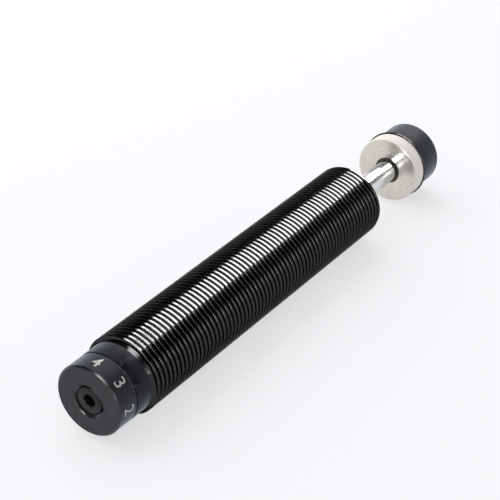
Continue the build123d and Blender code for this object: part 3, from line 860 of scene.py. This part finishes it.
# %% Finishes of the pieces inside
def inner_finish(name, size_mm, dark, light, smooth, dull, depth_mm, turned=False, **values):
    material, tree, shader, place = new_finish(name, **values)
    if turned:
        place = lathe_place(tree, place)[0]
    stretch = (1, 1, 0.003) if turned else (1, 1, 1)
    colour, value = pattern(tree, place, size_mm, dark, light, 3, stretch)
    work_in(tree, shader, colour, value, smooth, dull, depth_mm)
    return material


finishes = {
    "black_oxide_steel": thread_black,
    "black_oxide_knob": satin_black,
    "black_screw": screw_black,
    "hard_chrome": chrome,
    "nickel_plate": nickel,
    "cap_polyurethane": cap_body,
    "phosphated_spring_steel": inner_finish(
        "phosphated spring steel, tumbled", 0.4, "#2a2a29", "#3a3a38", 0.5, 0.65, 0.01),
    "steel": inner_finish(
        "bright turned steel", 0.3, "#a9a9ac", "#c4c4c6", 0.25, 0.36, 0.004, True,
        Metallic=1.0),
    "spring_steel": inner_finish(
        "patented spring wire, drawn", 0.3, "#8d8f96", "#a8aab0", 0.25, 0.35, 0.003,
        Metallic=1.0),
    "bronze": inner_finish(
        "sintered bronze, oil-filled", 0.2, "#96693a", "#b98a52", 0.35, 0.5, 0.008,
        Metallic=1.0),
    "seal_polyurethane": inner_finish(
        "moulded polyurethane seal", 0.5, "#131314", "#1d1d1f", 0.35, 0.45, 0.004),
    "nitrile_rubber": inner_finish(
        "moulded nitrile rubber", 0.3, "#101010", "#1a1a1a", 0.5, 0.65, 0.006, IOR=1.52),
    "foam": inner_finish(
        "closed-cell foam, skived", 0.35, "#151516", "#2b2b2d", 0.8, 0.95, 0.08, IOR=1.45),
}
# The button's face mirrors the sleeve's mouth, and the photograph is dark there, so the gland
# that fills the mouth gets a dark colour: painted shade of the mouth, seen in the button's face.
gland_painted_shade = inner_finish(
    "faced gland, dark as painted shade of the mouth", 0.3, "#2c2c2d", "#363637", 0.25, 0.36, 0.003, True, Metallic=1.0)
for row in frame["record"]["subparts"]:
    node = frame["nodes"][row["node"]]
    material = gland_painted_shade if row["node"] == "gland" else finishes[row["material_slot"]]
    if not node.material_slots:
        node.data.materials.append(material)
    for holder in node.material_slots:
        holder.material = material
print("finishes:", len(finishes))

# %% [markdown]
# ## Who wears what
#
# Each new piece stands for its CAD node and rides on that node's body. Four pieces have more
# than one finish. The sleeve has a satin neck behind its glossy thread, and the cap a polished
# lip. The knob has a satin side, burnished edges and a faced end, and the button a turned face,
# a blasted rim and a recess painted dark as shade. Each face gets its finish by its place, and
# on the knob by how far it looks backwards.

# %% Put the pieces in place
EDGE_TILT, FACE_TILT = 0.3, 0.95
RIM_OUTSIDE, RECESS_INSIDE, RECESS_FROM, RECESS_TO = 9.0, 3.75, 20.43, 27.5
LIP_OUTSIDE, LIP_TO = 6.5, 25.12


def dress(piece, node, body, slot, *materials, which=None):
    piece.data.materials.clear()
    for material in materials:
        piece.data.materials.append(material)
    if which:
        for face in piece.data.polygons:
            x, y, z = (c / MM for c in face.center)
            face.material_index = int(which(x, hypot(y, z), -face.normal.x))
    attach(piece, body)
    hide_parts(node)


dress(housing, "housing", "housing_body", "black_oxide_steel", thread_black, satin_black,
      which=lambda x, r, backwards: x < SHOULDER)
dress(knob, "adjusting_knob", "adjuster_body", "black_oxide_knob",
      satin_black, edge_black, face_black,
      which=lambda x, r, backwards: (backwards > EDGE_TILT) + (backwards > FACE_TILT))
dress(screw, "knob_screw", "adjuster_body", "black_screw", screw_black)
dress(rod, "piston_rod", "rod_body", "hard_chrome", chrome)
dress(button, "strike_button", "rod_body", "nickel_plate", nickel, nickel_rim, nickel_with_recess_shade,
      which=lambda x, r, backwards: 1 if r > RIM_OUTSIDE
      else 2 * (r < RECESS_INSIDE and RECESS_FROM < x < RECESS_TO))
dress(cap, "bumper_cap", "rod_body", "cap_polyurethane", cap_body, cap_lip,
      which=lambda x, r, backwards: r > LIP_OUTSIDE and x < LIP_TO)
for piece in figures:
    piece.data.materials.clear()
    piece.data.materials.append(ink)
    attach(piece, "adjuster_body")

# %% [markdown]
# ## The return spring
#
# The rod slides in by 20 mm. The wound spring takes the CAD spring's place between the piston
# and the plug, and rides on the housing's body with a mesh of its own.

# %% Put the spring in place
dress(spring, "return_spring", "housing_body", "spring_steel", finishes["spring_steel"])
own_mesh(spring)

# %% [markdown]
# ## Floor, light and camera
#
# This is a table-top shot: a pale table in a pale room with a darker ceiling. A dark, glossy
# thread shows only what it reflects, so the lamps' places decide where its highlights lie.
# Four lamps are there for reflections alone. The largest, overhead, draws the white streak
# on the thread's crests and the stripe on the rod. Those above, behind and to the right of
# the camera draw thin lines below the streak, and light the rod and the button's face. The
# one above also draws the arc on the knob's edge and lights the slope behind the thread. The
# fifth lamp lights the table, the colours and the sheen, and so has a level of its own.

# %% Floor
to_object_mode()
bpy.ops.mesh.primitive_plane_add(size=12, location=(0, 0, -THREAD_TOP * MM))
floor = bpy.context.object
floor.name = "floor"
table_white, tree, shader, place = new_finish(
    "table, matt white laminate", Roughness=0.9, Specular_IOR_Level=0.0
)
colour = pattern(tree, place, 500, "#f4f5f7", "#f7f8f9", 1)[0]
tree.links.new(colour, shader.inputs["Base Color"])
floor.data.materials.append(table_white)

# %% Lighten the table's shadow
# The photograph's table is lit until it is nearly white, which also lightens the shadow. Here
# the table stays at a plain level, and shines partly by itself for the eye and in mirrors.
GLOW_SHARE = 0.66
paths = add(tree, "ShaderNodeLightPath").outputs
mirrored = add(tree, "ShaderNodeMath",
               {0: paths["Is Glossy Ray"], 1: paths["Is Transmission Ray"]}, operation="MAXIMUM")
seen = add(tree, "ShaderNodeMath",
           {0: paths["Is Camera Ray"], 1: mirrored.outputs[0]}, operation="MAXIMUM")
share = add(tree, "ShaderNodeMath", {0: seen.outputs[0], 1: GLOW_SHARE}, operation="MULTIPLY")
glow = add(tree, "ShaderNodeEmission", {"Color": linear("#fbfbfd"), "Strength": 1.0})
lit = add(tree, "ShaderNodeMixShader",
          {0: share.outputs[0], 1: shader.outputs[0], 2: glow.outputs[0]})
tree.links.new(lit.outputs[0], tree.nodes["Material Output"].inputs["Surface"])


# %% Lamps
def lamp(name, centre, aim, size_x, size_y, level, glossy):
    """A rectangular lamp. Level is its brightness, where white is 1."""
    light = bpy.data.lights.new(name, "AREA")
    light.shape = "RECTANGLE"
    light.size, light.size_y = size_x, size_y
    light.energy = level * pi * size_x * size_y
    piece = bpy.data.objects.new(name, light)
    piece.location = centre
    piece.rotation_euler = (Vector(aim) - Vector(centre)).to_track_quat("-Z", "Y").to_euler()
    piece.visible_camera = False
    piece.visible_glossy = glossy
    piece.visible_diffuse = not glossy
    bpy.context.scene.collection.objects.link(piece)


lamp("lamp_overhead", (0.64, 0.075, 0.60), (0.64, 0.075, 0), 0.48, 0.62, 30, True)
lamp("lamp_behind_camera", (-0.926, -0.136, 0.252), (0, 0, 0), 0.24, 0.45, 7, True)
lamp("lamp_above_camera", (-0.64, -0.13, 0.71), (0, 0, 0), 0.50, 0.45, 12, True)
lamp("lamp_right_of_camera", (-0.64, -0.69, 0.19), (0, 0, 0), 0.22, 0.28, 9, True)
lamp("lamp_on_table", (0.15, 0.60, 0.55), (0, 0, 0), 1.1, 1.1, 1.6, False)

# %% Room
# The camera sees plain white. Mirrors see white where a direction's z is below 0.10, and a
# dark ceiling where it is above 0.45. All else is lit evenly, by the room's own level
ROOM_LEVEL = 0.72
world = bpy.data.worlds.new("room")
bpy.context.scene.world = world
world.use_nodes = True
tree = world.node_tree
tree.nodes.clear()
paths = add(tree, "ShaderNodeLightPath").outputs
direction = add(tree, "ShaderNodeTexCoord").outputs["Generated"]
height = add(tree, "ShaderNodeSeparateXYZ", {0: direction}).outputs[2]
upwards = add(tree, "ShaderNodeMapRange", {0: height, 1: 0.10, 2: 0.45})
room = add(tree, "ShaderNodeMix", {
    0: upwards.outputs[0], 6: linear("#ffffff"), 7: linear("#3c3c3e"),
}, data_type="RGBA")
for_gloss = add(tree, "ShaderNodeBackground", {0: room.outputs[2], 1: 1.0})
for_eye = add(tree, "ShaderNodeBackground", {0: (1, 1, 1, 1), 1: 1.0})
for_light = add(tree, "ShaderNodeBackground", {0: linear("#f4f6fa"), 1: ROOM_LEVEL})
mirrored = add(tree, "ShaderNodeMath",
               {0: paths["Is Glossy Ray"], 1: paths["Is Transmission Ray"]}, operation="MAXIMUM")
inner = add(tree, "ShaderNodeMixShader",
            {0: mirrored.outputs[0], 1: for_light.outputs[0], 2: for_gloss.outputs[0]})
outer = add(tree, "ShaderNodeMixShader",
            {0: paths["Is Camera Ray"], 1: inner.outputs[0], 2: for_eye.outputs[0]})
add(tree, "ShaderNodeOutputWorld", {0: outer.outputs[0]})

# %% Camera
# It was fitted to three rows of crests, the sleeve's two outlines and two circles
yaw, pitch = radians(34.454), radians(31.18)
forward = Vector((cos(yaw) * cos(pitch), sin(yaw) * cos(pitch), -sin(pitch)))
camera_data = bpy.data.cameras.new("camera")
camera_data.lens = 119.65
camera_data.sensor_width = 36
camera_data.clip_start = 0.01
camera = bpy.data.objects.new("camera", camera_data)
camera.location = (-0.33405, -0.19727, 0.21864)
camera.rotation_euler = forward.to_track_quat("-Z", "Y").to_euler()
bpy.context.scene.collection.objects.link(camera)
bpy.context.scene.camera = camera
bpy.context.scene.view_settings.view_transform = "Standard"
